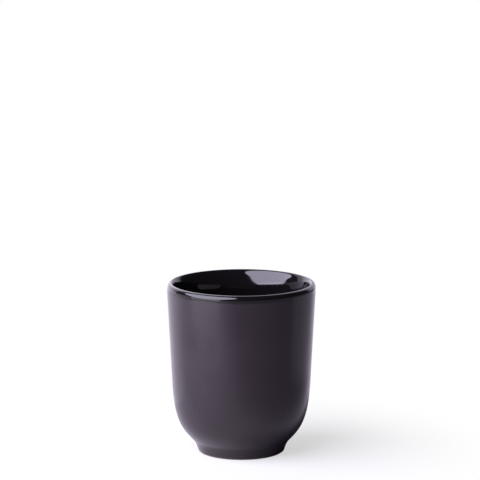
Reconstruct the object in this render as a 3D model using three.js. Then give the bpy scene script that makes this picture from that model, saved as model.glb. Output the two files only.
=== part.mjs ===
// A handleless stoneware cup: one fired clay body and the three glaze coats that lie on it.
// Millimetres, +Z up. The origin is the centre of the foot ring's bearing face.
import * as THREE from "three";

// Overall size, glazed: the rim is measured on the wall just below the lip's rounding.
const rimDiameter = 75;
const cupHeight = 86.9;

// Wall and lip. Leans are in degrees from upright, and both open towards the rim. The crest's share
// is how far across the lip it lies, from the outside.
const wallLean = 3;
const wallThickness = 4.6;
const lipThickness = 3.8;
const lipHeight = 3.1;
const crestShare = 0.66;
const mouthLean = 13.5;
const mouthEase = 3;

// Belly. The slope is in degrees above level, where the belly leaves the foot.
const bellyTopHeight = 36.7;
const bellySlope = 46;
const bellyThickness = 5;

// Floor and foot ring
const floorTopHeight = 8.4;
const floorEase = 6;
const footDiameter = 43.2;
const footLean = 16.3;
const footHeight = 4.85;
const flareRun = 2.2;
const ringWidth = 4.4;
const bearingEase = 0.9;
const recessDepth = 2.4;
const recessLean = 15;
const recessRounding = 1;

// Glaze coats. The gloss runs a little way below the lip, and the satin laps over its edge.
const glazeThickness = 0.35;
const bondGap = 0.05;
const glossDrop = 0.1;
const glazeLap = 0.5;
const bareFootHeight = 0.5;
const bareRecessHeight = 0.9;

// Fullness of each rounding: how far its handles reach towards the corner that it rounds.
const lipOuterFullness = 0.68;
const lipInnerFullness = 0.61;
const easeFullness = 0.55;
const flareFullness = 2 / 3;
const mouthFullness = 2 / 3;
const bellyLowFullness = 0.63;
const bellyHighFullness = 0.99;

// Facets: how many go round the cup, and the most that one may stand off a rounding's curve.
const facetsAround = 40;
const facetSag = 0.08;

// Finishes
const bareClay = { color: 0x938171, roughness: 0.9, metalness: 0 };
const glossBlack = { color: 0x0d0b0c, roughness: 0.06, metalness: 0 };
const satinAubergine = { color: 0x262025, roughness: 0.25, metalness: 0 };

const level = 0;
const upright = 90;
const coat = glazeThickness + bondGap;

// The point on the line through a point, at a slope in degrees, that lies at a given height.
function atHeight(point, slope, height) {
  const rise = Math.tan(THREE.MathUtils.degToRad(slope));
  return new THREE.Vector2(point.x + (height - point.y) / rise, height);
}

// The point that lies a distance up a line with a slope in degrees.
function along(point, slope, distance) {
  const angle = THREE.MathUtils.degToRad(slope);
  return new THREE.Vector2(Math.cos(angle), Math.sin(angle)).multiplyScalar(distance).add(point);
}

// The point where two lines meet, each given by a point and a slope in degrees.
function meet(a, slopeA, b, slopeB) {
  const directionA = along(new THREE.Vector2(), slopeA, 1);
  const directionB = along(new THREE.Vector2(), slopeB, 1);
  const reach = b.clone().sub(a).cross(directionB) / directionA.cross(directionB);
  return directionA.multiplyScalar(reach).add(a);
}

// Adds a rounding that leaves the path's end towards a corner and arrives from that corner.
function turn(path, corner, end, fullnessOut, fullnessIn = fullnessOut) {
  const leave = path.currentPoint.clone().lerp(corner, fullnessOut);
  const arrive = end.clone().lerp(corner, fullnessIn);
  path.bezierCurveTo(leave.x, leave.y, arrive.x, arrive.y, end.x, end.y);
}

// The facets that a rounding needs: its sag is about its length times its turn over eight.
function stepsOn(curve) {
  if (curve.isLineCurve) return 1;
  const turned = curve.getTangent(0).angleTo(curve.getTangent(1));
  return Math.ceil(Math.sqrt((curve.getLength() * turned) / 8 / facetSag));
}

// Points along a path, moved a depth into the clay, which lies on the path's left.
function inset(path, depth) {
  const points = [];
  for (const curve of path.curves) {
    const steps = stepsOn(curve);
    for (let step = points.length ? 1 : 0; step <= steps; step++) {
      const direction = curve.getTangent(step / steps);
      const inward = new THREE.Vector2(-direction.y, direction.x);
      points.push(curve.getPoint(step / steps).addScaledVector(inward, depth));
    }
  }
  return points;
}

// Corners and ends of the glazed outline, as radius and height
const wallSlope = upright - wallLean;
const mouthSlope = upright - mouthLean;
const footSlope = upright - footLean;
const recessSlope = upright + recessLean;
const lipBase = new THREE.Vector2(rimDiameter / 2, cupHeight - lipHeight);
const lipOuterCorner = atHeight(lipBase, wallSlope, cupHeight);
const mouthTop = new THREE.Vector2(lipBase.x - lipThickness, lipBase.y);
const lipInnerCorner = atHeight(mouthTop, mouthSlope, cupHeight);
const lipCrest = lipOuterCorner.clone().lerp(lipInnerCorner, crestShare);
const insideWallTop = along(lipBase, wallSlope + upright, wallThickness);
const mouthCorner = meet(mouthTop, mouthSlope, insideWallTop, wallSlope);
const mouthEnd = along(mouthCorner, wallSlope, -mouthEase);
const insideBellyTop = atHeight(insideWallTop, wallSlope, bellyTopHeight);

const footBase = new THREE.Vector2(footDiameter / 2, 0);
const footStart = atHeight(footBase, footSlope, bareFootHeight);
const footCorner = atHeight(footBase, footSlope, footHeight);
const flareEnd = along(footCorner, bellySlope, flareRun);
const bellyCorner = meet(footCorner, bellySlope, lipBase, wallSlope);
const bellyTop = atHeight(lipBase, wallSlope, bellyTopHeight);
const insideBellyFoot = along(footCorner, bellySlope + upright, bellyThickness);
const insideBellyCorner = meet(insideBellyFoot, bellySlope, insideWallTop, wallSlope);
const floorCorner = atHeight(insideBellyFoot, bellySlope, floorTopHeight);
const insideBellyEnd = along(floorCorner, bellySlope, floorEase);
const floorEdge = along(floorCorner, level, -floorEase);

const recessBase = new THREE.Vector2(footBase.x - ringWidth, 0);
const recessCorner = atHeight(recessBase, recessSlope, recessDepth);
const recessEnd = atHeight(recessBase, recessSlope, bareRecessHeight);

// The outside, from where the foot's glaze starts up to a height on the wall.
function outside(topHeight) {
  const path = new THREE.Path();
  path.moveTo(footStart.x, footStart.y);
  turn(path, footCorner, flareEnd, flareFullness);
  turn(path, bellyCorner, bellyTop, bellyLowFullness, bellyHighFullness);
  const top = atHeight(lipBase, wallSlope, topHeight);
  path.lineTo(top.x, top.y);
  return path;
}

// The lining, from a height on the outside of the wall, over the lip, to the middle of the floor.
function lining(startHeight) {
  const path = new THREE.Path();
  const start = atHeight(lipBase, wallSlope, startHeight);
  path.moveTo(start.x, start.y);
  path.lineTo(lipBase.x, lipBase.y);
  turn(path, lipOuterCorner, lipCrest, lipOuterFullness);
  turn(path, lipInnerCorner, mouthTop, lipInnerFullness);
  turn(path, mouthCorner, mouthEnd, mouthFullness);
  path.lineTo(insideBellyTop.x, insideBellyTop.y);
  turn(path, insideBellyCorner, insideBellyEnd, bellyHighFullness, bellyLowFullness);
  turn(path, floorCorner, floorEdge, easeFullness);
  path.lineTo(0, floorTopHeight);
  return path;
}

// The recess under the floor, from its middle out and down to where its glaze stops.
function recess() {
  const path = new THREE.Path();
  path.moveTo(0, recessDepth);
  path.lineTo(recessCorner.x - recessRounding, recessDepth);
  turn(path, recessCorner, along(recessCorner, recessSlope, -recessRounding), easeFullness);
  path.lineTo(recessEnd.x, recessEnd.y);
  return path;
}

// The bare clay between the two glazed stretches: eased edges and the flat bearing face.
function bearing(start, end) {
  const path = new THREE.Path();
  const innerCorner = atHeight(start, recessSlope, 0);
  const outerCorner = atHeight(end, footSlope, 0);
  path.moveTo(start.x, start.y);
  turn(path, innerCorner, along(innerCorner, level, bearingEase), easeFullness);
  path.lineTo(outerCorner.x - bearingEase, 0);
  turn(path, outerCorner, end, easeFullness);
  return path;
}

// A named piece turned about the cup's axis from an outline with its material on the left.
function turnedPiece(name, outline, finish) {
  const material = new THREE.MeshStandardMaterial(finish);
  const piece = new THREE.Mesh(new THREE.LatheGeometry(outline, facetsAround), material);
  piece.name = name;
  return piece;
}

// The outline of a coat: its open face one way, and its bonded face back again.
function coatOutline(face, bondedPath) {
  const outline = [...face, ...inset(bondedPath, glazeThickness).reverse()];
  const closesOnAxis = outline[0].x === 0 || outline.at(-1).x === 0;
  return closesOnAxis ? outline : [...outline, outline[0].clone()];
}

const glossLine = lipBase.y - glossDrop;
const satinTop = glossLine - bondGap;

function clayBody() {
  const under = inset(recess(), coat);
  const outer = inset(outside(glossLine), coat);
  const inner = inset(lining(glossLine), coat);
  const foot = inset(bearing(under.at(-1), outer[0]), 0);
  const outline = [...under, ...foot.slice(1, -1), ...outer, ...inner.slice(1)];
  return turnedPiece("clay_body", outline, bareClay);
}

function glossLining() {
  const outline = coatOutline(inset(lining(glossLine), 0), lining(glossLine - glazeLap));
  return turnedPiece("gloss_lining", outline, glossBlack);
}

function satinGlaze() {
  const outline = coatOutline(inset(outside(satinTop), 0), outside(satinTop - glazeLap));
  return turnedPiece("satin_glaze", outline, satinAubergine);
}

function baseGlaze() {
  const outline = coatOutline(inset(recess(), 0), recess());
  return turnedPiece("base_glaze", outline, satinAubergine);
}

// Lathed pieces stand along Y, so the group lays that axis over to +Z.
const cup = new THREE.Group();
cup.rotation.x = Math.PI / 2;
cup.add(clayBody(), glossLining(), satinGlaze(), baseGlaze());

export default cup;
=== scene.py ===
"""A handleless stoneware cup in a plain studio: its fine surfaces, finishes, light and camera.

Every piece is turned about +Z, in metres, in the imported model's own frame, whose origin is the centre
of the foot ring's bearing face. An outline is a path of radius and height, walked with the clay on its
left. Leans, slopes and turns given as sizes are in degrees, and angles round the axis in radians.
"""

import logging
import math
from dataclasses import dataclass
from enum import Enum
from functools import cache
from typing import Any

import bpy
import numpy as np
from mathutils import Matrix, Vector


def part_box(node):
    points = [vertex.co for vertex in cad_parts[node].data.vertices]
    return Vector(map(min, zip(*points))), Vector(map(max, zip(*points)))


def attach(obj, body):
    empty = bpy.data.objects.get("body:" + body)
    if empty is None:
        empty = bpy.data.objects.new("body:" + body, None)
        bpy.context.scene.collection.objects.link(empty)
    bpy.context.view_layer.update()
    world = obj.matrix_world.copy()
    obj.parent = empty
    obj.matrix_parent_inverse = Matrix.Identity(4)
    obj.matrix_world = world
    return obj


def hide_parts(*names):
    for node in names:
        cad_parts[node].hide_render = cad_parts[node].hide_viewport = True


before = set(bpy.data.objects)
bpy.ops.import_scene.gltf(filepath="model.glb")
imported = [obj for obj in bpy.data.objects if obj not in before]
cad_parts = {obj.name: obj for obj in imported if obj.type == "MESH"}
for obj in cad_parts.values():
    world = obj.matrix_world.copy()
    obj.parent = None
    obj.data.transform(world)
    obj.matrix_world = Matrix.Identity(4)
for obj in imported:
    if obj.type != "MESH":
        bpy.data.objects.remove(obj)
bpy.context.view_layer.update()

MM = 0.001
UPRIGHT = 90.0
LEVEL = 0.0
CUP_BODY = "root"

Colour = tuple[float, float, float]
Span = tuple[float, float]
Socket = bpy.types.NodeSocket

UNIT: Span = (0.0, 1.0)

# The studio's white as the camera sees it, and a little cooler as reflections show it
WHITE: Colour = (1.0, 1.0, 1.0)
MIRRORED_WHITE: Colour = (1.0, 0.91, 1.12)

log = logging.getLogger("cup")


class Node(Enum):
    """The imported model's nodes."""

    CLAY = "clay_body"
    GLOSS = "gloss_lining"
    SATIN = "satin_glaze"
    BASE = "base_glaze"


class Slot(Enum):
    """The record's material slots."""

    CLAY = "bare_clay"
    GLOSS = "gloss_glaze"
    SATIN = "satin_glaze"


class Mark(Enum):
    """What a piece's rows are marked with, from 0 to 1, for its finish to read."""

    THIN = "thin_glaze"
    MELTED = "melted_edge"


class Ends(Enum):
    """How a turned outline closes: both ends on the axis, or the last point back to the first."""

    ON_AXIS = "on axis"
    LOOP = "loop"


# A piece's rings, the marks on their rows, and how its outline closes
Rings = tuple[np.ndarray, dict[Mark, np.ndarray], Ends]


# Outlines


def at_height(point: np.ndarray, slope: float, height: float) -> np.ndarray:
    """Finds the point at a height on a sloping line.

    Args:
        point: Radius and height of a point on the line.
        slope: The line's slope in degrees above level.
        height: The height to reach.

    Returns:
        The radius and height of the point found.
    """
    return np.array([point[0] + (height - point[1]) / math.tan(math.radians(slope)), height])


def along(point: np.ndarray, slope: float, distance: float) -> np.ndarray:
    """Moves a point a distance up a line with a slope in degrees."""
    angle = math.radians(slope)
    return point + distance * np.array([math.cos(angle), math.sin(angle)])


def meet(a: np.ndarray, slope_a: float, b: np.ndarray, slope_b: float) -> np.ndarray:
    """Finds where two lines meet.

    Args:
        a: A point on the first line.
        slope_a: The first line's slope in degrees.
        b: A point on the second line.
        slope_b: The second line's slope in degrees.

    Returns:
        The radius and height of the crossing.
    """
    directions = np.column_stack([along(np.zeros(2), slope_a, 1.0), -along(np.zeros(2), slope_b, 1.0)])
    reach = np.linalg.solve(directions, b - a)[0]
    return along(a, slope_a, reach)


def straight(start: np.ndarray, end: np.ndarray, points: int = 120) -> np.ndarray:
    """Walks a straight line from one point to another in even steps."""
    return np.linspace(start, end, points)


def rounding(
    start: np.ndarray,
    corner: np.ndarray,
    end: np.ndarray,
    fullness_out: float,
    fullness_in: float | None = None,
    points: int = 240,
) -> np.ndarray:
    """Rounds a corner with a cubic curve.

    The curve leaves the start towards the corner and arrives at the end from the corner. Its two handles
    are the start and the end, each moved its fullness of the way to the corner.

    Args:
        start: Where the curve starts.
        corner: The corner that it rounds.
        end: Where the curve ends.
        fullness_out: How far the first handle reaches towards the corner.
        fullness_in: How far the second handle reaches, the same as the first if left out.
        points: How many points to return.

    Returns:
        Points on the curve, as rows of radius and height.
    """
    if fullness_in is None:
        fullness_in = fullness_out
    t = np.linspace(0.0, 1.0, points)[:, None]
    s = 1 - t
    leave = start + fullness_out * (corner - start)
    arrive = end + fullness_in * (corner - end)
    return s**3 * start + 3 * t * s**2 * leave + 3 * t**2 * s * arrive + t**3 * end


class Outline:
    """A smooth path of radius and height that is measured by the length walked along it."""

    STRIDE = 1.2 * MM
    TURN = math.radians(3.0)

    def __init__(self, *stretches: np.ndarray) -> None:
        """Joins stretches end to end, and works out length, inward direction and effort at every point.

        The inward direction is the heading turned a quarter to the left. The effort grows by one for
        each stride walked and for each turn made, so that even steps of effort are shorter where the
        path bends.

        Args:
            stretches: Rows of radius and height, each stretch starting where the one before it ends.
        """
        self.points = np.vstack([stretches[0]] + [stretch[1:] for stretch in stretches[1:]])
        steps = np.diff(self.points, axis=0)
        self.length = np.concatenate([[0.0], np.cumsum(np.hypot(*steps.T))])
        heading = np.gradient(self.points, self.length, axis=0)
        heading /= np.linalg.norm(heading, axis=1, keepdims=True)
        self.inward = np.column_stack([-heading[:, 1], heading[:, 0]])
        angle = np.unwrap(np.arctan2(heading[:, 1], heading[:, 0]))
        turned = np.concatenate([[0.0], np.cumsum(np.abs(np.diff(angle)))])
        self.effort = self.length / self.STRIDE + turned / self.TURN

    @property
    def end(self) -> float:
        """The whole path's length."""
        return float(self.length[-1])

    def at(self, length: np.ndarray, depth: np.ndarray | float = 0.0) -> np.ndarray:
        """Gives points at lengths along the path, moved a depth into the clay.

        Args:
            length: Lengths along the path, in an array of any shape.
            depth: The depth of each point under the path, or one depth for all.

        Returns:
            Radius and height in a last axis of two.
        """
        places = []
        for axis in range(2):
            on_path = np.interp(length, self.length, self.points[:, axis])
            into_clay = np.interp(length, self.length, self.inward[:, axis])
            places.append(on_path + depth * into_clay)
        return np.stack(places, axis=-1)

    def steps(self, start: float, end: float, count: int) -> np.ndarray:
        """Spaces lengths by even effort.

        Args:
            start: The first length.
            end: The last length, which may be the smaller one.
            count: How many lengths to return.

        Returns:
            The lengths, from start to end.
        """
        effort = np.interp([start, end], self.length, self.effort)
        return np.interp(np.linspace(*effort, count), self.effort, self.length)

    def where_height(self, height: float) -> float:
        """Finds where the path first rises past a height.

        Args:
            height: The height to pass.

        Returns:
            The length walked to that place.
        """
        first = int(np.argmax(self.points[:, 1] >= height))
        span = slice(max(first - 1, 0), first + 1)
        return float(np.interp(height, self.points[span, 1], self.length[span]))


@dataclass(frozen=True)
class CupShape:
    """The glazed cup's outline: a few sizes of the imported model, and the leans and roundings between.

    A fullness is how far a rounding's handles reach towards the corner that it rounds, and the crest's
    share is how far across the lip its crest lies, from the outside.
    """

    rim_radius: float
    height: float
    satin_top: float
    foot_glaze_line: float
    recess_glaze_line: float
    floor_top: float
    recess_depth: float
    glaze: float = 0.35 * MM
    bond_gap: float = 0.05 * MM
    lap: float = 0.5 * MM
    wall_lean: float = 3.0
    wall: float = 4.6 * MM
    lip: float = 3.8 * MM
    lip_height: float = 3.1 * MM
    crest_share: float = 0.66
    lip_outer_fullness: float = 0.68
    lip_inner_fullness: float = 0.61
    mouth_lean: float = 13.5
    mouth_ease: float = 3.0 * MM
    mouth_fullness: float = 2 / 3
    belly_top: float = 36.7 * MM
    belly_slope: float = 46.0
    belly_wall: float = 5.0 * MM
    belly_low_fullness: float = 0.63
    belly_high_fullness: float = 0.99
    floor_ease: float = 6.0 * MM
    foot_radius: float = 21.6 * MM
    foot_lean: float = 16.3
    foot_height: float = 4.85 * MM
    flare_run: float = 2.2 * MM
    flare_fullness: float = 2 / 3
    ring_width: float = 4.4 * MM
    bearing_ease: float = 0.9 * MM
    recess_lean: float = 15.0
    recess_rounding: float = 1.0 * MM
    ease_fullness: float = 0.55

    @classmethod
    def from_frame(cls) -> "CupShape":
        """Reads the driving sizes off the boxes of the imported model's glaze nodes.

        Returns:
            The shape with those sizes.
        """
        gloss_low, gloss_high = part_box(Node.GLOSS.value)
        satin_low, satin_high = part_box(Node.SATIN.value)
        base_low, base_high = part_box(Node.BASE.value)
        return cls(
            rim_radius=gloss_high.x,
            height=gloss_high.z,
            satin_top=satin_high.z,
            foot_glaze_line=satin_low.z,
            recess_glaze_line=base_low.z,
            floor_top=gloss_low.z + cls.glaze,
            recess_depth=base_high.z - cls.glaze,
        )

    @property
    def coat(self) -> float:
        """How far the clay lies under the glaze's face."""
        return self.glaze + self.bond_gap

    @property
    def wall_slope(self) -> float:
        """The wall's slope in degrees above level."""
        return UPRIGHT - self.wall_lean

    @property
    def foot_slope(self) -> float:
        """The slope of the foot's side in degrees above level."""
        return UPRIGHT - self.foot_lean

    @property
    def recess_slope(self) -> float:
        """The slope of the recess's side in degrees above level, leaning inwards."""
        return UPRIGHT + self.recess_lean

    def skin(self) -> Outline:
        """Draws the glazed skin: up the foot, belly and wall, over the lip, and down to the floor.

        Returns:
            The outline from the lower edge of the foot's glaze to the axis.
        """
        lip_base = np.array([self.rim_radius, self.height - self.lip_height])
        foot_base = np.array([self.foot_radius, 0.0])
        return Outline(*self._outside(foot_base, lip_base), *self._lining(foot_base, lip_base))

    def _outside(self, foot_base: np.ndarray, lip_base: np.ndarray) -> list[np.ndarray]:
        """Draws the outside: the foot's flare, the belly and the straight wall.

        Args:
            foot_base: Where the line of the foot's side meets the table.
            lip_base: Where the wall ends and the lip begins, on the outside.

        Returns:
            The stretches from the foot's glaze line to the base of the lip.
        """
        foot_start = at_height(foot_base, self.foot_slope, self.foot_glaze_line)
        foot_corner = at_height(foot_base, self.foot_slope, self.foot_height)
        flare_end = along(foot_corner, self.belly_slope, self.flare_run)
        belly_corner = meet(foot_corner, self.belly_slope, lip_base, self.wall_slope)
        belly_top = at_height(lip_base, self.wall_slope, self.belly_top)
        belly_fullness = (self.belly_low_fullness, self.belly_high_fullness)
        return [
            rounding(foot_start, foot_corner, flare_end, self.flare_fullness),
            rounding(flare_end, belly_corner, belly_top, *belly_fullness),
            straight(belly_top, lip_base),
        ]

    def _lining(self, foot_base: np.ndarray, lip_base: np.ndarray) -> list[np.ndarray]:
        """Draws the lip and the inside: the mouth, the straight wall, the belly and the floor.

        Args:
            foot_base: Where the line of the foot's side meets the table.
            lip_base: Where the wall ends and the lip begins, on the outside.

        Returns:
            The stretches from the base of the lip to the middle of the floor.
        """
        mouth_slope = UPRIGHT - self.mouth_lean
        lip_corner = at_height(lip_base, self.wall_slope, self.height)
        mouth_top = lip_base - [self.lip, 0.0]
        mouth_lip_corner = at_height(mouth_top, mouth_slope, self.height)
        crest = lip_corner + self.crest_share * (mouth_lip_corner - lip_corner)
        wall_top = along(lip_base, self.wall_slope + UPRIGHT, self.wall)
        mouth_corner = meet(mouth_top, mouth_slope, wall_top, self.wall_slope)
        mouth_end = along(mouth_corner, self.wall_slope, -self.mouth_ease)
        belly_top = at_height(wall_top, self.wall_slope, self.belly_top)
        foot_corner = at_height(foot_base, self.foot_slope, self.foot_height)
        belly_foot = along(foot_corner, self.belly_slope + UPRIGHT, self.belly_wall)
        belly_corner = meet(belly_foot, self.belly_slope, wall_top, self.wall_slope)
        floor_corner = at_height(belly_foot, self.belly_slope, self.floor_top)
        belly_end = along(floor_corner, self.belly_slope, self.floor_ease)
        belly_fullness = (self.belly_high_fullness, self.belly_low_fullness)
        floor_edge = along(floor_corner, LEVEL, -self.floor_ease)
        return [
            rounding(lip_base, lip_corner, crest, self.lip_outer_fullness),
            rounding(crest, mouth_lip_corner, mouth_top, self.lip_inner_fullness),
            rounding(mouth_top, mouth_corner, mouth_end, self.mouth_fullness),
            straight(mouth_end, belly_top),
            rounding(belly_top, belly_corner, belly_end, *belly_fullness),
            rounding(belly_end, floor_corner, floor_edge, self.ease_fullness),
            straight(floor_edge, np.array([0.0, self.floor_top])),
        ]

    def recess(self) -> Outline:
        """Draws the glazed recess under the floor: its flat top, a rounded corner and its side.

        Returns:
            The outline from the axis to the lower edge of the recess's glaze.
        """
        base = np.array([self.foot_radius - self.ring_width, 0.0])
        corner = at_height(base, self.recess_slope, self.recess_depth)
        top_end = along(corner, LEVEL, -self.recess_rounding)
        side_start = along(corner, self.recess_slope, -self.recess_rounding)
        side_end = at_height(base, self.recess_slope, self.recess_glaze_line)
        return Outline(
            straight(np.array([0.0, self.recess_depth]), top_end),
            rounding(top_end, corner, side_start, self.ease_fullness),
            straight(side_start, side_end),
        )

    def bearing(self, start: np.ndarray, end: np.ndarray) -> Outline:
        """Draws the bare foot ring: an eased inner edge, the flat bearing face and an eased outer edge.

        Args:
            start: Where the clay under the recess's glaze stops.
            end: Where the clay under the foot's glaze begins.

        Returns:
            The outline from start to end.
        """
        inner_corner = at_height(start, self.recess_slope, 0.0)
        outer_corner = at_height(end, self.foot_slope, 0.0)
        flat_start = along(inner_corner, LEVEL, self.bearing_ease)
        flat_end = along(outer_corner, LEVEL, -self.bearing_ease)
        return Outline(
            rounding(start, inner_corner, flat_start, self.ease_fullness),
            straight(flat_start, flat_end),
            rounding(flat_end, outer_corner, end, self.ease_fullness),
        )


# Meshes


def angles_round(segments: int) -> np.ndarray:
    """Gives even angles once round the axis, from +X towards +Y."""
    return np.linspace(0.0, 2 * math.pi, segments, endpoint=False)


def turned_mesh(name: str, rings: np.ndarray, ends: Ends) -> bpy.types.Mesh:
    """Makes a closed mesh from rings about +Z.

    Row u of the rings is one point of the outline and column v one angle round the axis, so that vertex
    (u, v) is (radius cos v, radius sin v, height). Four neighbours make a face that points out of the
    piece. An outline that ends on the axis has one vertex there, joined to its neighbour ring by a fan.

    Args:
        name: The mesh's name.
        rings: Radius and height, in an array of rows by angles by two.
        ends: How the outline closes.

    Returns:
        The mesh, shaded smooth.
    """
    rows, segments = rings.shape[:2]
    angle = angles_round(segments)
    radius, height = rings[..., 0], rings[..., 1]
    grid = np.stack([radius * np.cos(angle), radius * np.sin(angle), height], axis=-1)
    index = np.arange(rows * segments).reshape(rows, segments)
    if ends is Ends.LOOP:
        index = np.vstack([index, index[:1]])
    beside = np.roll(index, -1, axis=1)
    corners = [index[:-1], beside[:-1], beside[1:], index[1:]]
    faces = np.stack(corners, axis=-1).reshape(-1, 4).tolist()
    points = grid.reshape(-1, 3)
    if ends is Ends.ON_AXIS:
        poles = np.array([[0.0, 0.0, height[0].mean()], [0.0, 0.0, height[-1].mean()]])
        first_pole = np.full(segments, len(points))
        faces += np.stack([first_pole, beside[0], index[0]], axis=-1).tolist()
        faces += np.stack([first_pole + 1, index[-1], beside[-1]], axis=-1).tolist()
        points = np.vstack([points, poles])
    mesh = bpy.data.meshes.new(name)
    mesh.from_pydata(points, [], faces)
    mesh.shade_smooth()
    return mesh


def wander(angle: np.ndarray, reach: float, waves: tuple[int, ...], phase: float) -> np.ndarray:
    """Gives a line that wanders gently round the cup: a sum of sines, scaled to a reach.

    Each sine makes its own count of waves in one round and is divided by the count's square root.

    Args:
        angle: Angles round the axis.
        reach: The most that the line may stray.
        waves: How many waves each sine makes in one round.
        phase: Where the sines start.

    Returns:
        How far the line strays at each angle.
    """
    sines = [np.sin(count * angle + phase * (count + 1)) / count**0.5 for count in waves]
    total = np.sum(sines, axis=0)
    return reach * total / np.abs(total).max()


def bead_depth(run: np.ndarray, glaze: float) -> np.ndarray:
    """Rounds a glaze's edge down to the clay as a quarter of an ellipse.

    The depth is the glaze's thickness times 1 - sqrt(1 - (1 - run)^2).

    Args:
        run: How far across the bead each point lies, from 0 at the glaze's edge to 1.
        glaze: The glaze's thickness.

    Returns:
        How deep each point lies under the glaze's face.
    """
    return glaze * (1 - np.sqrt(1 - (1 - run) ** 2))


# Finishes


class NodeSheet:
    """A node tree with short calls to add, set and join its nodes."""

    MIX_FACTOR, MIX_A, MIX_B, MIX_RESULT = 0, 6, 7, 2

    def __init__(self, tree: bpy.types.NodeTree) -> None:
        """Starts with an empty tree."""
        tree.nodes.clear()
        self.tree = tree

    def add(self, kind: str, sockets: dict[str | int, Any], **settings: Any) -> bpy.types.Node:
        """Adds a node.

        Args:
            kind: Blender's name for the kind of node.
            sockets: A value, or another node's output, for each input that is set.
            settings: The node's own properties.

        Returns:
            The node.
        """
        node = self.tree.nodes.new(kind)
        for name, value in settings.items():
            setattr(node, name, value)
        for name, value in sockets.items():
            if isinstance(value, Socket):
                self.tree.links.new(value, node.inputs[name])
            else:
                node.inputs[name].default_value = value
        return node

    def place(self) -> Socket:
        """Gives the piece's own Object coordinates."""
        return self.add("ShaderNodeTexCoord", {}).outputs["Object"]

    def noise(self, size: float, detail: float = 2.0) -> Socket:
        """Gives a noise from 0 to 1 whose lumps are about a size across."""
        sockets = {"Vector": self.place(), "Scale": 1.0 / size, "Detail": detail}
        return self.add("ShaderNodeTexNoise", sockets).outputs["Fac"]

    def ramp(self, value: Socket, span: Span, result: tuple[Any, Any]) -> Socket:
        """Maps a span of a value smoothly onto a range.

        Args:
            value: The value to map.
            span: Where the value starts and stops to count.
            result: The two ends of the range, each a number or an output.

        Returns:
            The mapped value.
        """
        sockets = {"Value": value, "From Min": span[0], "From Max": span[1]}
        sockets |= {"To Min": result[0], "To Max": result[1]}
        node = self.add("ShaderNodeMapRange", sockets, interpolation_type="SMOOTHSTEP")
        return node.outputs["Result"]

    def math(self, operation: str, first: Any, second: Any) -> Socket:
        """Combines two values."""
        return self.add("ShaderNodeMath", {0: first, 1: second}, operation=operation).outputs["Value"]

    def mix(self, factor: Socket, first: Any, second: Any) -> Socket:
        """Mixes two colours.

        Args:
            factor: 0 for the first colour and 1 for the second.
            first: An output or three numbers.
            second: An output or three numbers.

        Returns:
            The mixed colour.
        """
        colours = [tone if isinstance(tone, Socket) else (*tone, 1.0) for tone in (first, second)]
        sockets = {self.MIX_FACTOR: factor, self.MIX_A: colours[0], self.MIX_B: colours[1]}
        return self.add("ShaderNodeMix", sockets, data_type="RGBA").outputs[self.MIX_RESULT]

    def bump(self, height: Socket, depth: float, under: Socket | None = None) -> Socket:
        """Raises a surface by a height times a depth.

        Args:
            height: The height, from 0 to 1.
            depth: The size of a height of 1.
            under: Another bump that this one lies on, if there is one.

        Returns:
            The bent normal.
        """
        sockets = {"Height": height, "Distance": depth}
        if under is not None:
            sockets["Normal"] = under
        return self.add("ShaderNodeBump", sockets).outputs["Normal"]

    def mark(self, kind: Mark) -> Socket:
        """Gives a mark that the piece carries on its rows."""
        return self.add("ShaderNodeAttribute", {}, attribute_name=kind.value).outputs["Fac"]

    def rays(self) -> tuple[Socket, Socket]:
        """Tells the kinds of ray apart.

        Returns:
            1 for what the camera sees, and 1 for what a surface mirrors or lets through.
        """
        path = self.add("ShaderNodeLightPath", {}).outputs
        mirrored = self.math("MAXIMUM", path["Is Glossy Ray"], path["Is Transmission Ray"])
        return path["Is Camera Ray"], mirrored

    def finish(self, shader: bpy.types.Node, kind: str = "ShaderNodeOutputMaterial") -> None:
        """Joins a shader to the tree's output."""
        self.add(kind, {"Surface": shader.outputs[0]})


@dataclass(frozen=True)
class Finish:
    """What every finish has: a name, and a material made of nodes."""

    name: str

    @cache
    def material(self) -> bpy.types.Material:
        """Makes the material once, however many pieces wear it.

        Returns:
            The material.
        """
        made = bpy.data.materials.new(self.name)
        made.use_nodes = True
        self.dress(NodeSheet(made.node_tree))
        return made

    def dress(self, sheet: NodeSheet) -> None:
        """Fills the node tree."""
        raise NotImplementedError


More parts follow.
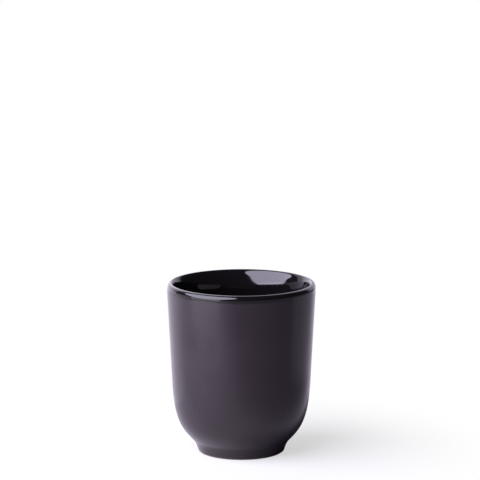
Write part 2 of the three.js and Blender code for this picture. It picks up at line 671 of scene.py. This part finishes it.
@dataclass(frozen=True)
class SatinGlaze(Finish):
    """A satin glaze, aubergine black: warmer where it thins, and black where it meets the gloss."""

    name: str = "aubergine_satin"
    deep: Colour = (0.0179, 0.0134, 0.0155)
    cloudy: Colour = (0.0210, 0.0157, 0.0182)
    thinned: Colour = (0.034, 0.022, 0.022)
    melted: Colour = (0.0045, 0.0036, 0.0041)
    melted_roughness: float = 0.05
    specular: float = 0.5
    roughness: Span = (0.21, 0.27)
    cloud_size: float = 14 * MM
    cloud_detail: float = 3.0
    cloud_tones: Span = (0.3, 0.7)
    cloud_matt: Span = (0.25, 0.75)
    skin_size: float = 1.1 * MM
    skin_depth: float = 0.008 * MM
    grain_size: float = 0.22 * MM
    grain_depth: float = 0.002 * MM

    def dress(self, sheet: NodeSheet) -> None:
        """Drifts between two tones, warms the thin edge, melts the top edge and lays grain on the skin.

        Args:
            sheet: The material's node tree.
        """
        cloud = sheet.noise(self.cloud_size, self.cloud_detail)
        drift = sheet.mix(sheet.ramp(cloud, self.cloud_tones, UNIT), self.deep, self.cloudy)
        tone = sheet.mix(sheet.mark(Mark.THIN), drift, self.thinned)
        matt = sheet.ramp(cloud, self.cloud_matt, self.roughness)
        melt = sheet.ramp(sheet.mark(Mark.MELTED), UNIT, UNIT)
        skin = sheet.noise(self.skin_size)
        grain = sheet.noise(self.grain_size)
        sockets = {
            "Base Color": sheet.mix(melt, tone, self.melted),
            "Roughness": sheet.ramp(melt, UNIT, (matt, self.melted_roughness)),
            "Specular IOR Level": self.specular,
            "Normal": sheet.bump(grain, self.grain_depth, sheet.bump(skin, self.skin_depth)),
        }
        sheet.finish(sheet.add("ShaderNodeBsdfPrincipled", sockets))


@dataclass(frozen=True)
class GlossGlaze(Finish):
    """A black glaze, glassy, with long soft waves in its face and a brown tinge where it runs thin."""

    name: str = "black_gloss"
    deep: Colour = (0.0040, 0.0034, 0.0037)
    thinned: Colour = (0.0065, 0.0048, 0.0045)
    ior: float = 1.5
    roughness: Span = (0.03, 0.08)
    wave_size: float = 9 * MM
    wave_detail: float = 1.0
    wave_depth: float = 0.012 * MM
    haze_size: float = 4 * MM
    haze_span: Span = (0.3, 0.7)

    def dress(self, sheet: NodeSheet) -> None:
        """Waves the surface a little, varies its haze, and warms its thin edges.

        Args:
            sheet: The material's node tree.
        """
        haze = sheet.noise(self.haze_size)
        wave = sheet.noise(self.wave_size, self.wave_detail)
        sockets = {
            "Base Color": sheet.mix(sheet.mark(Mark.THIN), self.deep, self.thinned),
            "Roughness": sheet.ramp(haze, self.haze_span, self.roughness),
            "IOR": self.ior,
            "Normal": sheet.bump(wave, self.wave_depth),
        }
        sheet.finish(sheet.add("ShaderNodeBsdfPrincipled", sockets))


@dataclass(frozen=True)
class BareClay(Finish):
    """Unglazed fine stoneware: two close tones of grey brown, dark specks and a sandy face."""

    name: str = "sandy_stoneware"
    pale: Colour = (0.33, 0.26, 0.20)
    dark: Colour = (0.24, 0.18, 0.135)
    speck: Colour = (0.05, 0.035, 0.028)
    roughness: Span = (0.8, 0.95)
    drift_size: float = 5 * MM
    drift_detail: float = 4.0
    drift_span: Span = (0.3, 0.7)
    speck_size: float = 0.5 * MM
    speck_span: Span = (0.66, 0.74)
    sand_size: float = 0.25 * MM
    sand_detail: float = 3.0
    sand_span: Span = (0.3, 0.7)
    sand_depth: float = 0.03 * MM

    def dress(self, sheet: NodeSheet) -> None:
        """Drifts between two tones, scatters specks and roughens the face with sand.

        Args:
            sheet: The material's node tree.
        """
        drift = sheet.ramp(sheet.noise(self.drift_size, self.drift_detail), self.drift_span, UNIT)
        specks = sheet.ramp(sheet.noise(self.speck_size), self.speck_span, UNIT)
        sand = sheet.noise(self.sand_size, self.sand_detail)
        sockets = {
            "Base Color": sheet.mix(specks, sheet.mix(drift, self.pale, self.dark), self.speck),
            "Roughness": sheet.ramp(sand, self.sand_span, self.roughness),
            "Normal": sheet.bump(sand, self.sand_depth),
        }
        sheet.finish(sheet.add("ShaderNodeBsdfPrincipled", sockets))


# Pieces


@dataclass(frozen=True)
class TurnedPiece:
    """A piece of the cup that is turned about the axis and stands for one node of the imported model."""

    shape: CupShape
    finish: Finish
    name: str
    node: Node
    slot: Slot
    segments: int = 256
    crease: float = 40.0

    def rings(self) -> Rings:
        """Gives the rings, the marks on their rows, and how the outline closes."""
        raise NotImplementedError

    def build(self) -> bpy.types.Object:
        """Makes the piece, dresses it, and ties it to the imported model.

        Returns:
            The finished object.
        """
        rings, marks, ends = self.rings()
        rows, columns = rings.shape[:2]
        mesh = turned_mesh(self.name, rings, ends)
        mesh.set_sharp_from_angle(angle=math.radians(self.crease))
        for mark, on_rows in marks.items():
            on_vertices = np.zeros(len(mesh.vertices))
            on_vertices[: rows * columns] = np.repeat(on_rows, columns)
            mesh.attributes.new(mark.value, "FLOAT", "POINT").data.foreach_set("value", on_vertices)
        mesh.materials.append(self.finish.material())
        piece = bpy.data.objects.new(self.name, mesh)
        bpy.context.scene.collection.objects.link(piece)
        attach(piece, CUP_BODY)
        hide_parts(self.node.value)
        return piece


@dataclass(frozen=True)
class ClayBody(TurnedPiece):
    """The fired clay: the foot ring, and everything that the glazes lie on."""

    segments: int = 192
    recess_rows: int = 40
    ring_rows: int = 48
    skin_rows: int = 190

    def rings(self) -> Rings:
        """Walks the recess and the skin one coat deep, joined by the bare ring, as one outline.

        Returns:
            The rings, no marks, and ends on the axis.
        """
        shape, recess, skin = self.shape, self.shape.recess(), self.shape.skin()
        under = recess.at(recess.steps(shape.glaze, recess.end, self.recess_rows), shape.coat)
        over = skin.at(skin.steps(0.0, skin.end - shape.glaze, self.skin_rows), shape.coat)
        ring = shape.bearing(under[-1], over[0])
        between = ring.at(ring.steps(0.0, ring.end, self.ring_rows))
        outline = np.vstack([under, between[1:-1], over])
        rings = np.repeat(outline[:, None], self.segments, axis=1)
        return rings, {}, Ends.ON_AXIS


@dataclass(frozen=True)
class LappedCoat(TurnedPiece):
    """A glaze coat of the skin that ends at the wandering line where the gloss and the satin meet."""

    line_reach: float = 0.12 * MM
    line_waves: tuple[int, ...] = (2, 3, 7, 13)
    line_phase: float = 0.4
    line_settle: float = 3.0 * MM

    def lap_line(self, length: np.ndarray, line: float) -> np.ndarray:
        """Gives each length the glaze line's wander, fading with distance from the line.

        Args:
            length: Lengths along the skin, one for each row.
            line: The length at which the gloss and the satin meet.

        Returns:
            Lengths in rows by angles: length + wander(angle) * exp(-distance / settle).
        """
        fade = np.exp(-np.abs(length - line) / self.line_settle)
        angle = angles_round(self.segments)
        strayed = wander(angle, self.line_reach, self.line_waves, self.line_phase)
        return length[:, None] + fade[:, None] * strayed


@dataclass(frozen=True)
class GlossLining(LappedCoat):
    """The glossy glaze: the whole inside, the lip and a narrow band below it on the outside."""

    face_rows: int = 190
    bond_rows: int = 90
    thin_reach: float = 0.7 * MM

    def rings(self) -> Rings:
        """Walks the bonded face out from the axis, up the lap, and the open face back to the axis.

        The thin mark is exp(-distance from the glaze line / reach).

        Returns:
            The rings, the thin mark on their rows, and ends on the axis.
        """
        shape, skin = self.shape, self.shape.skin()
        line = skin.where_height(shape.satin_top + shape.bond_gap)
        axis_end = skin.end - shape.glaze
        bond = skin.steps(axis_end, line - shape.lap, self.bond_rows)
        face = skin.steps(line, axis_end, self.face_rows)
        length = np.concatenate([bond, face])
        depth = np.concatenate([np.full(len(bond), shape.glaze), np.zeros(len(face))])
        marks = {Mark.THIN: np.exp(-np.abs(length - line) / self.thin_reach)}
        return skin.at(self.lap_line(length, line), depth[:, None]), marks, Ends.ON_AXIS


@dataclass(frozen=True)
class SatinCoat(LappedCoat):
    """The satin glaze of the outside, from a rounded bead above the bearing face up to the gloss."""

    face_rows: int = 170
    bond_rows: int = 80
    bead_rows: int = 14
    bead_run: float = 0.45 * MM
    thin_reach: float = 0.9 * MM
    melt_reach: float = 0.9 * MM

    def rings(self) -> Rings:
        """Walks the open face up from the bead at the foot, and the bonded face back down.

        The thin mark is exp(-distance from the foot's edge / reach). The melted mark falls evenly from 1
        at the glaze line to 0 at its reach.

        Returns:
            The rings, both marks on their rows, and a closed loop.
        """
        shape, skin = self.shape, self.shape.skin()
        line = skin.where_height(shape.satin_top)
        run = np.linspace(0.0, 1.0, self.bead_rows) ** 2
        bead = run[:-1] * self.bead_run
        face = np.concatenate([bead, skin.steps(self.bead_run, line, self.face_rows)])
        bond = skin.steps(line - shape.lap, 0.0, self.bond_rows)[:-1]
        face_depth = np.zeros(len(face))
        face_depth[: self.bead_rows] = bead_depth(run, shape.glaze)
        length = np.concatenate([face, bond])
        depth = np.concatenate([face_depth, np.full(len(bond), shape.glaze)])
        marks = {
            Mark.THIN: np.exp(-length / self.thin_reach),
            Mark.MELTED: np.clip(1 - np.abs(line - length) / self.melt_reach, 0.0, 1.0),
        }
        return skin.at(self.lap_line(length, line), depth[:, None]), marks, Ends.LOOP


@dataclass(frozen=True)
class BaseCoat(TurnedPiece):
    """The patch of satin glaze in the recess under the floor."""

    segments: int = 160
    face_rows: int = 60
    bond_rows: int = 40
    bead_rows: int = 12
    bead_run: float = 0.45 * MM
    thin_reach: float = 0.9 * MM

    def rings(self) -> Rings:
        """Walks the open face out from the axis, round the bead at its edge, and the bonded face back.

        The thin mark is exp(-distance from the edge / reach).

        Returns:
            The rings, the thin mark on their rows, and ends on the axis.
        """
        shape, recess = self.shape, self.shape.recess()
        edge = recess.end
        run = np.linspace(1.0, 0.0, self.bead_rows) ** 2
        face = recess.steps(shape.glaze, edge - self.bead_run, self.face_rows)
        bead = edge - run[1:] * self.bead_run
        bond = recess.steps(edge, shape.glaze, self.bond_rows)[1:]
        length = np.concatenate([face, bead, bond])
        face_depth = np.zeros(len(face))
        bond_depth = np.full(len(bond), shape.glaze)
        depth = np.concatenate([face_depth, bead_depth(run[1:], shape.glaze), bond_depth])
        rings = np.repeat(recess.at(length, depth)[:, None], self.segments, axis=1)
        return rings, {Mark.THIN: np.exp(-(edge - length) / self.thin_reach)}, Ends.ON_AXIS


# Studio


class PanelFace(Enum):
    """The outline of a light panel's face."""

    OVAL = "ELLIPSE"
    OBLONG = "RECTANGLE"


@dataclass(frozen=True)
class SoftPanel:
    """A soft light panel that stands upright beside the cup and faces it.

    It stands an angle round to the left of the front, or to the right where the angle is below 0.
    """

    name: str
    left: float
    distance: float
    width: float
    bottom: float
    top: float
    radiance: float
    face: PanelFace = PanelFace.OBLONG
    tint: Colour = (1.0, 0.945, 1.11)

    def build(self) -> bpy.types.Object:
        """Stands the panel in its place. Its power is pi times its radiance times its face's area.

        Returns:
            The lamp.
        """
        turn = math.radians(self.left)
        towards = Vector((-math.sin(turn), -math.cos(turn), 0.0))
        height = self.top - self.bottom
        filled = math.pi / 4 if self.face is PanelFace.OVAL else 1.0
        light = bpy.data.lights.new(self.name, "AREA")
        light.shape = self.face.value
        light.size, light.size_y = self.width, height
        light.energy = math.pi * self.radiance * filled * self.width * height
        light.color = self.tint
        lamp = bpy.data.objects.new(self.name, light)
        lamp.location = self.distance * towards + Vector((0.0, 0.0, self.bottom + height / 2))
        lamp.rotation_euler = (-towards).to_track_quat("-Z", "Y").to_euler()
        lamp.visible_camera = False
        bpy.context.scene.collection.objects.link(lamp)
        return lamp


def studio_panels() -> tuple[SoftPanel, ...]:
    """Gives the light panels: a key softbox at the front left, and four dim ones for the cup's edges.

    Returns:
        The panels, in the order in which they are set up.
    """
    key = SoftPanel(
        "key_softbox",
        left=55.8,
        distance=0.6,
        width=1.355,
        bottom=0.096,
        top=1.33,
        radiance=6.45,
        face=PanelFace.OVAL,
        tint=(1.0, 0.945, 1.22),
    )
    low = SoftPanel(
        "low_panel", left=55.0, distance=0.3, width=0.26, bottom=0.0, top=0.13, radiance=1.68
    )
    rear = SoftPanel(
        "rear_panel", left=148.0, distance=0.5, width=0.6, bottom=0.0, top=0.88, radiance=0.93
    )
    edge = SoftPanel(
        "edge_panel", left=130.0, distance=0.1, width=0.13, bottom=0.0, top=0.07, radiance=0.28
    )
    side = SoftPanel(
        "side_panel", left=-103.0, distance=0.1, width=0.1, bottom=0.02, top=0.07, radiance=0.19
    )
    return key, low, rear, edge, side


@dataclass(frozen=True)
class Backdrop:
    """The world: a white backdrop behind the cup, a dim room in front of it, and a little fill light."""

    name: str = "backdrop"
    white: float = 1.0
    room: float = 0.054
    fill: float = 0.048
    edge: Span = (0.545, 0.745)

    def build(self) -> bpy.types.World:
        """Makes the world: the camera sees white, and reflections see white only behind the cup.

        Its white lights nothing else, so it isn't sampled as a lamp.

        Returns:
            The world.
        """
        world = bpy.data.worlds.new(self.name)
        world.use_nodes = True
        world.cycles.sampling_method = "NONE"
        sheet = NodeSheet(world.node_tree)
        seen, mirrored = sheet.rays()
        towards = sheet.add("ShaderNodeTexCoord", {}).outputs["Generated"]
        away = sheet.add("ShaderNodeSeparateXYZ", {"Vector": towards}).outputs["Y"]
        behind = sheet.ramp(away, self.edge, (self.room, self.white))
        reflected = sheet.math("MAXIMUM", sheet.math("MULTIPLY", mirrored, behind), self.fill)
        strength = sheet.math("MAXIMUM", reflected, sheet.math("MULTIPLY", seen, self.white))
        paper = sheet.mix(seen, MIRRORED_WHITE, WHITE)
        shader = sheet.add("ShaderNodeBackground", {"Color": paper, "Strength": strength})
        sheet.finish(shader, "ShaderNodeOutputWorld")
        bpy.context.scene.world = world
        return world


@dataclass(frozen=True)
class Floor:
    """A pale round tabletop that keeps the cup's soft shadow and runs out into white.

    The camera sees it in its own colour, and the bounce is what it gives back to the cup. Reflections
    show it with painted shade, dim at the front right, and a painted shadow of the cup, black in an
    oval.
    """

    name: str = "tabletop"
    radius: float = 4.0
    colour: Colour = (0.74, 0.755, 0.70)
    bounce: Colour = (0.166, 0.141, 0.172)
    lift: float = 0.6
    white_span: Span = (0.03, 0.14)
    dim_turn: float = 60.0
    dim_span: Span = (-0.015, 0.11)
    dimmed: float = 0.18
    shadow_centre: tuple[float, float, float] = (0.033, 0.043, 0.0)
    shadow_turn: float = -17.0
    shadow_reach: tuple[float, float, float] = (0.0435, 0.10, 1.0)
    shadow_core: float = 0.55
    segments: int = 96

    def build(self) -> bpy.types.Object:
        """Makes the disc: one flat face whose corners lie on a circle about the origin.

        Returns:
            The floor.
        """
        angle = angles_round(self.segments)
        edge = self.radius * np.stack([np.cos(angle), np.sin(angle), np.zeros_like(angle)], axis=-1)
        mesh = bpy.data.meshes.new(self.name)
        mesh.from_pydata(edge, [], [list(range(self.segments))])
        mesh.materials.append(self.material())
        floor = bpy.data.objects.new(self.name, mesh)
        bpy.context.scene.collection.objects.link(floor)
        return floor

    def material(self) -> bpy.types.Material:
        """Mixes white into the lit top, by how white the camera and reflections see it at each place.

        That white lights nothing else, so it isn't sampled as a lamp.

        Returns:
            The material.
        """
        made = bpy.data.materials.new(self.name)
        made.use_nodes = True
        made.cycles.emission_sampling = "NONE"
        sheet = NodeSheet(made.node_tree)
        seen, mirrored = sheet.rays()
        seen_white = sheet.math("MULTIPLY", seen, self.seen_white(sheet))
        mirrored_white = sheet.math("MULTIPLY", mirrored, self.mirrored_white(sheet))
        white = sheet.math("MAXIMUM", seen_white, mirrored_white)
        paper = sheet.add("ShaderNodeEmission", {"Color": sheet.mix(seen, MIRRORED_WHITE, WHITE)})
        lit = sheet.add("ShaderNodeBsdfDiffuse", {"Color": sheet.mix(seen, self.bounce, self.colour)})
        shaders = {0: white, 1: lit.outputs[0], 2: paper.outputs[0]}
        sheet.finish(sheet.add("ShaderNodeMixShader", shaders))
        return made

    def seen_white(self, sheet: NodeSheet) -> Socket:
        """Gives how white the camera sees the floor: more with distance from the cup."""
        from_cup = sheet.add("ShaderNodeVectorMath", {0: sheet.place()}, operation="LENGTH")
        return sheet.ramp(from_cup.outputs["Value"], self.white_span, (self.lift, 1.0))

    def mirrored_white(self, sheet: NodeSheet) -> Socket:
        """Gives how white reflections show the floor, painted dim to the front right and in the cup's
        shadow.

        Args:
            sheet: The material's node tree.

        Returns:
            How white it is, from 0 to 1.
        """
        # Painted shade: the white that reflections see falls off to dim towards the front right
        turn = math.radians(self.dim_turn)
        to_dim = {0: sheet.place(), 1: (math.sin(turn), -math.cos(turn), 0.0)}
        across = sheet.add("ShaderNodeVectorMath", to_dim, operation="DOT_PRODUCT")
        painted_falloff = sheet.ramp(across.outputs["Value"], self.dim_span, (1.0, self.dimmed))
        # Painted shadow: an oval beside the cup where reflections see the floor black
        to_shadow = {
            "Vector": sheet.place(),
            "Location": self.shadow_centre,
            "Rotation": (0.0, 0.0, math.radians(self.shadow_turn)),
            "Scale": self.shadow_reach,
        }
        oval = sheet.add("ShaderNodeMapping", to_shadow, vector_type="TEXTURE").outputs["Vector"]
        beside = sheet.add("ShaderNodeVectorMath", {0: oval}, operation="LENGTH").outputs["Value"]
        unshaded = sheet.ramp(beside, (self.shadow_core, 1.0), UNIT)
        return sheet.math("MULTIPLY", painted_falloff, unshaded)


@dataclass(frozen=True)
class PortraitCamera:
    """The camera in front of the cup: it looks along +Y and a little down."""

    name: str = "portrait_camera"
    aim_height: float = 43 * MM
    distance: float = 1600 * MM
    rise: float = 12.51
    pitch: float = 10.2
    aside: float = -0.66 * MM
    lens: float = 236.9
    sensor: float = 36.0

    def build(self) -> bpy.types.Object:
        """Sets up the camera and makes it the scene's own.

        Returns:
            The camera.
        """
        rise = math.radians(self.rise)
        data = bpy.data.cameras.new(self.name)
        data.lens, data.sensor_width = self.lens, self.sensor
        camera = bpy.data.objects.new(self.name, data)
        height = self.aim_height + self.distance * math.sin(rise)
        camera.location = (self.aside, -self.distance * math.cos(rise), height)
        camera.rotation_euler = (math.radians(UPRIGHT - self.pitch), 0.0, 0.0)
        bpy.context.scene.collection.objects.link(camera)
        bpy.context.scene.camera = camera
        return camera


def main() -> None:
    """Builds the camera, the studio and the cup's pieces, and reports each piece."""
    logging.basicConfig(level=logging.INFO, format="%(name)s: %(message)s")
    bpy.context.scene.view_settings.view_transform = "Standard"
    for part in (PortraitCamera(), *studio_panels(), Backdrop(), Floor()):
        log.info("%s is set up", part.build().name)
    shape = CupShape.from_frame()
    satin = SatinGlaze()
    pieces = (
        ClayBody(shape, BareClay(), "fired_clay", Node.CLAY, Slot.CLAY),
        GlossLining(shape, GlossGlaze(), "gloss_coat", Node.GLOSS, Slot.GLOSS),
        SatinCoat(shape, satin, "satin_coat", Node.SATIN, Slot.SATIN),
        BaseCoat(shape, satin, "recess_coat", Node.BASE, Slot.SATIN),
    )
    for piece in pieces:
        made = piece.build()
        log.info("%s has %d faces", made.name, len(made.data.polygons))


if __name__ == "__main__":
    main()
